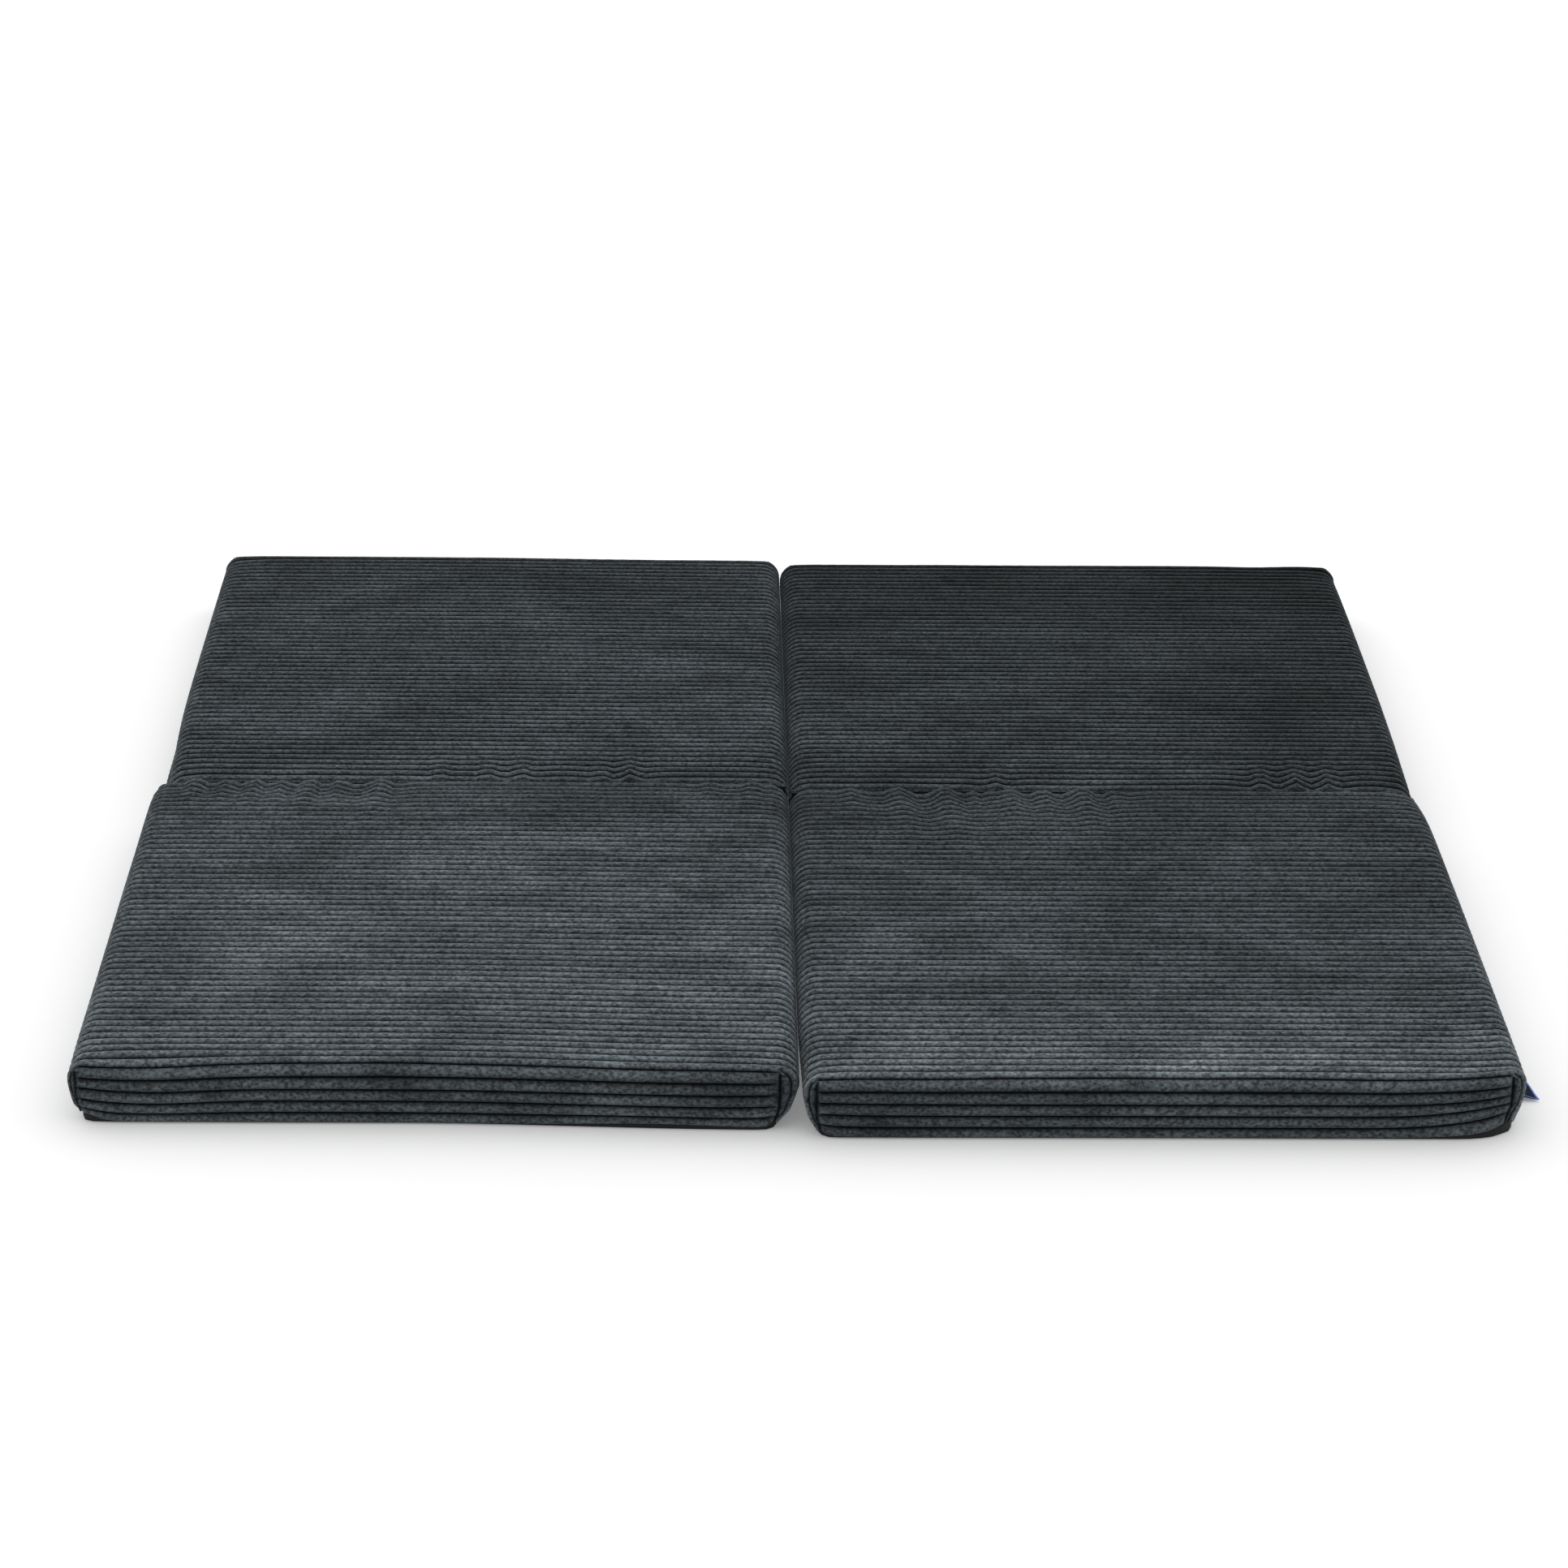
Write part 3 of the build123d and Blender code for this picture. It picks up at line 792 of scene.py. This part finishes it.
def plain_material(name, colour, other, scale, roughness, stretch=(1, 1, 1), bump=0.2, **constants):
    """A material whose colour and surface vary by a noise of that scale, in object space."""
    material = bpy.data.materials.new(name)
    material.use_nodes = True
    nodes, wires, shader = parts_of(material)
    place = nodes.new("ShaderNodeTexCoord")
    mapping = nodes.new("ShaderNodeMapping")
    mapping.inputs["Scale"].default_value = stretch
    noise = node_with(nodes, "ShaderNodeTexNoise", Scale=scale, Detail=4.0, Roughness=0.6)
    ramp = nodes.new("ShaderNodeValToRGB")
    ramp.color_ramp.elements[0].position = 0.3
    ramp.color_ramp.elements[1].position = 0.7
    ramp.color_ramp.elements[0].color = (*colour, 1)
    ramp.color_ramp.elements[1].color = (*other, 1)
    relief = node_with(nodes, "ShaderNodeBump", Strength=bump, Distance=0.0004)
    wires.new(place.outputs["Object"], mapping.inputs["Vector"])
    wires.new(mapping.outputs["Vector"], noise.inputs["Vector"])
    wires.new(noise.outputs["Fac"], ramp.inputs["Fac"])
    wires.new(ramp.outputs["Color"], shader.inputs["Base Color"])
    wires.new(noise.outputs["Fac"], relief.inputs["Height"])
    wires.new(relief.outputs["Normal"], shader.inputs["Normal"])
    shader.inputs["Roughness"].default_value = roughness
    for socket, value in constants.items():
        shader.inputs[socket].default_value = value
    return material


def corduroy_material(pad):
    """Cut-pile cotton: dark slate, with a sheen where it is seen along the pile, painted highlight on the
    crests, painted shade in the grooves, seams and gap between the halves, painted light and shade by
    place on the mattress, patches where the pile lies the other way, and the grain of the tufts."""
    material = bpy.data.materials.new(f"corduroy_{pad.name}")
    material.use_nodes = True
    nodes, wires, shader = parts_of(material)
    place = nodes.new("ShaderNodeTexCoord")

    def noise(scale, stretch, detail, distortion=0.0):
        mapping = nodes.new("ShaderNodeMapping")
        mapping.inputs["Scale"].default_value = stretch
        texture = node_with(
            nodes, "ShaderNodeTexNoise", Scale=scale, Detail=detail, Distortion=distortion
        )
        wires.new(place.outputs["Object"], mapping.inputs["Vector"])
        wires.new(mapping.outputs["Vector"], texture.inputs["Vector"])
        return texture.outputs["Fac"]

    def ranged(source, low, high, start=0.3, stop=0.7):
        node = nodes.new("ShaderNodeMapRange")
        node.inputs["From Min"].default_value = start
        node.inputs["From Max"].default_value = stop
        node.inputs["To Min"].default_value = low
        node.inputs["To Max"].default_value = high
        wires.new(source, node.inputs["Value"])
        return node.outputs["Result"]

    def times(first, second):
        node = nodes.new("ShaderNodeMath")
        node.operation = "MULTIPLY"
        wires.new(first, node.inputs[0])
        wires.new(second, node.inputs[1])
        return node.outputs["Value"]

    # painted light and shade: lighter towards the front of the mattress, painted shade on the front wall,
    # and painted shade deepening out to the outer wall (outer)
    painted_levels, outer, mottling = PAINTED_LIGHT_AND_MOTTLING[pad.name]
    split = nodes.new("ShaderNodeSeparateXYZ")
    wires.new(place.outputs["Object"], split.inputs["Vector"])
    ramp = nodes.new("ShaderNodeValToRGB")
    stops = ramp.color_ramp.elements
    for position, level in zip(PAINTED_LIGHT_STOPS, painted_levels):
        stop = stops[0] if position == 0 else stops[-1] if position == 1 else stops.new(position)
        stop.color = (level / PAINTED_LIGHT_SCALE, level / PAINTED_LIGHT_SCALE, level / PAINTED_LIGHT_SCALE, 1)
    wires.new(value_named(nodes, "nap"), ramp.inputs["Fac"])
    edge = pad.middle + pad.side * pad.half
    painted_shade_outwards = ranged(split.outputs["X"], PAINTED_LIGHT_SCALE, PAINTED_LIGHT_SCALE * outer, pad.middle, edge)
    nap = times(ramp.outputs["Color"], painted_shade_outwards)
    patches = ranged(noise(6.0, (1.0, 1.5, 1.5), 4.0, 0.8), 1 - 0.36 * mottling, 1 + 0.30 * mottling)
    strokes = ranged(noise(16.0, (1.0, 2.5, 2.5), 4.0, 0.6), 1 - 0.30 * mottling, 1 + 0.26 * mottling)
    grain = ranged(noise(380.0, (0.8, 1.0, 1.0), 3.0), 0.42, 1.62, 0.34, 0.66)
    # painted highlight on the crests and painted shade in the grooves: how light the crests and the
    # grooves are painted, and the groove depth from which the painted shade is full
    crest, hollow, dark = (1.52, 0.05, 0.73) if pad.end < 0 else (1.68, 0.02, 0.59)
    painted_rib_shade = ranged(value_named(nodes, "groove"), crest, hollow, 0.02, dark)
    level = times(times(times(patches, strokes), times(grain, painted_rib_shade)), nap)
    colour = nodes.new("ShaderNodeVectorMath")
    colour.operation = "SCALE"
    colour.inputs[0].default_value = (0.0404, 0.0472, 0.0513)
    wires.new(level, colour.inputs["Scale"])
    wires.new(colour.outputs["Vector"], shader.inputs["Base Color"])
    tufts = node_with(nodes, "ShaderNodeBump", Strength=0.8, Distance=0.0010)
    wires.new(noise(520.0, (0.8, 0.8, 1.0), 4.0), tufts.inputs["Height"])
    wires.new(tufts.outputs["Normal"], shader.inputs["Normal"])
    shader.inputs["Roughness"].default_value = 0.95
    shader.inputs["Specular IOR Level"].default_value = 0.1
    shader.inputs["Sheen Weight"].default_value = 0.30
    shader.inputs["Sheen Roughness"].default_value = 0.30
    shader.inputs["Sheen Tint"].default_value = (0.50, 0.58, 0.62, 1)
    return material


def label_material():
    """Navy satin ribbon with a pale blue woven edge."""
    material = plain_material("label", (0.003, 0.006, 0.016), (0.006, 0.011, 0.028), 700, 0.8)
    nodes, wires, shader = parts_of(material)
    shader.inputs["Specular IOR Level"].default_value = 0.15
    mix = nodes.new("ShaderNodeMix")
    mix.data_type = "RGBA"
    mix.inputs[7].default_value = (0.20, 0.34, 0.80, 1)
    navy = shader.inputs["Base Color"].links[0].from_socket
    wires.new(value_named(nodes, "edge"), mix.inputs[0])
    wires.new(navy, mix.inputs[6])
    wires.new(mix.outputs[2], shader.inputs["Base Color"])
    return material


def dress_zips():
    """Procedural finishes for the zips, which stay as CAD made them."""
    tape = plain_material("zip_tape", (0.012, 0.013, 0.014), (0.022, 0.024, 0.026), 900, 0.85)
    coil = plain_material(
        "zip_coil", (0.018, 0.019, 0.020), (0.034, 0.036, 0.038), 30, 0.45, (1, 40, 1), 0.8
    )
    metal = plain_material(
        "zip_metal", (0.020, 0.021, 0.023), (0.040, 0.042, 0.046), 500, 0.32, Metallic=0.6
    )
    for name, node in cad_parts.items():
        if "_zip_" in name:
            chosen = tape if name.endswith("tape") else coil if name.endswith("coil") else metal
            node.data.materials.clear()
            node.data.materials.append(chosen)


def place_camera():
    """The photograph's viewpoint: from in front, a little left of the middle, looking down."""
    target, distance = Vector((-0.003, 0.066, 0.030)), 4.0754
    down, turn, roll = math.radians(23.24), math.radians(1.167), math.radians(0.757)
    camera = bpy.data.objects.new("camera", bpy.data.cameras.new("camera"))
    camera.data.lens = 97.34
    camera.data.sensor_width = 36
    forward = Vector(
        (math.sin(turn) * math.cos(down), math.cos(turn) * math.cos(down), -math.sin(down))
    )
    level = Vector((math.cos(turn), -math.sin(turn), 0))
    upright = level.cross(forward)
    right = level * math.cos(roll) + upright * math.sin(roll)
    up = upright * math.cos(roll) - level * math.sin(roll)
    turned = Matrix((right, up, -forward)).transposed().to_4x4()
    camera.matrix_world = Matrix.Translation(target - forward * distance) @ turned
    bpy.context.scene.collection.objects.link(camera)
    bpy.context.scene.camera = camera


def soft_sun(name, towards, spread, strength):
    """A large soft lamp far away, that lights along a direction and spreads over that angle."""
    light = bpy.data.lights.new(name, "SUN")
    light.angle = math.radians(spread)
    light.energy = strength
    lamp = bpy.data.objects.new(name, light)
    lamp.rotation_mode = "QUATERNION"
    lamp.rotation_quaternion = Vector(towards).to_track_quat("-Z", "Y")
    bpy.context.scene.collection.objects.link(lamp)
    return lamp


def make_studio():
    """The pale floor, which glows faintly, a white world and one very soft lamp."""
    floor = new_mesh(
        "floor", [(-12, -8, 0), (12, -8, 0), (12, 20, 0), (-12, 20, 0)], [(0, 1, 2, 3)]
    )
    pale = plain_material("floor", (0.90, 0.90, 0.90), (0.91, 0.91, 0.91), 3, 0.9, bump=0.0)
    shader = parts_of(pale)[2]
    shader.inputs["Emission Color"].default_value = (1, 1, 1, 1)
    shader.inputs["Emission Strength"].default_value = 0.18
    floor.data.materials.append(pale)
    world = bpy.data.worlds.new("world")
    world.use_nodes = True
    background = world.node_tree.nodes["Background"]
    background.inputs["Color"].default_value = (1, 1, 1, 1)
    background.inputs["Strength"].default_value = 0.42
    bpy.context.scene.world = world
    soft_sun("overhead", (0.10, -0.70, -1.0), 140, 2.10)
    return floor


def main():
    """Makes every piece, hides the CAD node that it stands for, and parents it to the body that it rides
    with.
    """
    pads = {name: Pad(name) for name in PADS}
    bpy.context.scene.view_settings.view_transform = "Standard"
    floor = make_studio()
    place_camera()
    foam = plain_material("foam", (0.80, 0.75, 0.60), (0.86, 0.82, 0.68), 300, 0.95)
    base = plain_material("base_fabric", (0.004, 0.004, 0.005), (0.009, 0.009, 0.010), 1200, 0.9)
    for name, pad in pads.items():
        movement = cloth_movement(pad)
        cover = make_cover(pad, movement)
        cover.data.materials.append(corduroy_material(pad))
        core = make_foam(pad)
        core.data.materials.append(foam)
        panel = make_base(pad)
        panel.data.materials.append(base)
        for piece, part, slot in (
            (cover, "cover", "corduroy"),
            (core, "foam_core", "foam"),
            (panel, "base_panel", "base_fabric"),
        ):
            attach(piece, name)
            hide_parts(f"{name}_{part}")
    for half in ("left", "right"):
        front, back = pads[f"front_{half}"], pads[f"back_{half}"]
        crease, middle, gap = make_crease(front, back)
        crease.data.materials.append(bpy.data.materials[f"corduroy_front_{half}"])
        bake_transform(crease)
        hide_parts(f"{half}_crease_seam")
    label = make_label()
    label.data.materials.append(label_material())
    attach(label, "front_right")
    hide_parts("side_label")
    dress_zips()


main()
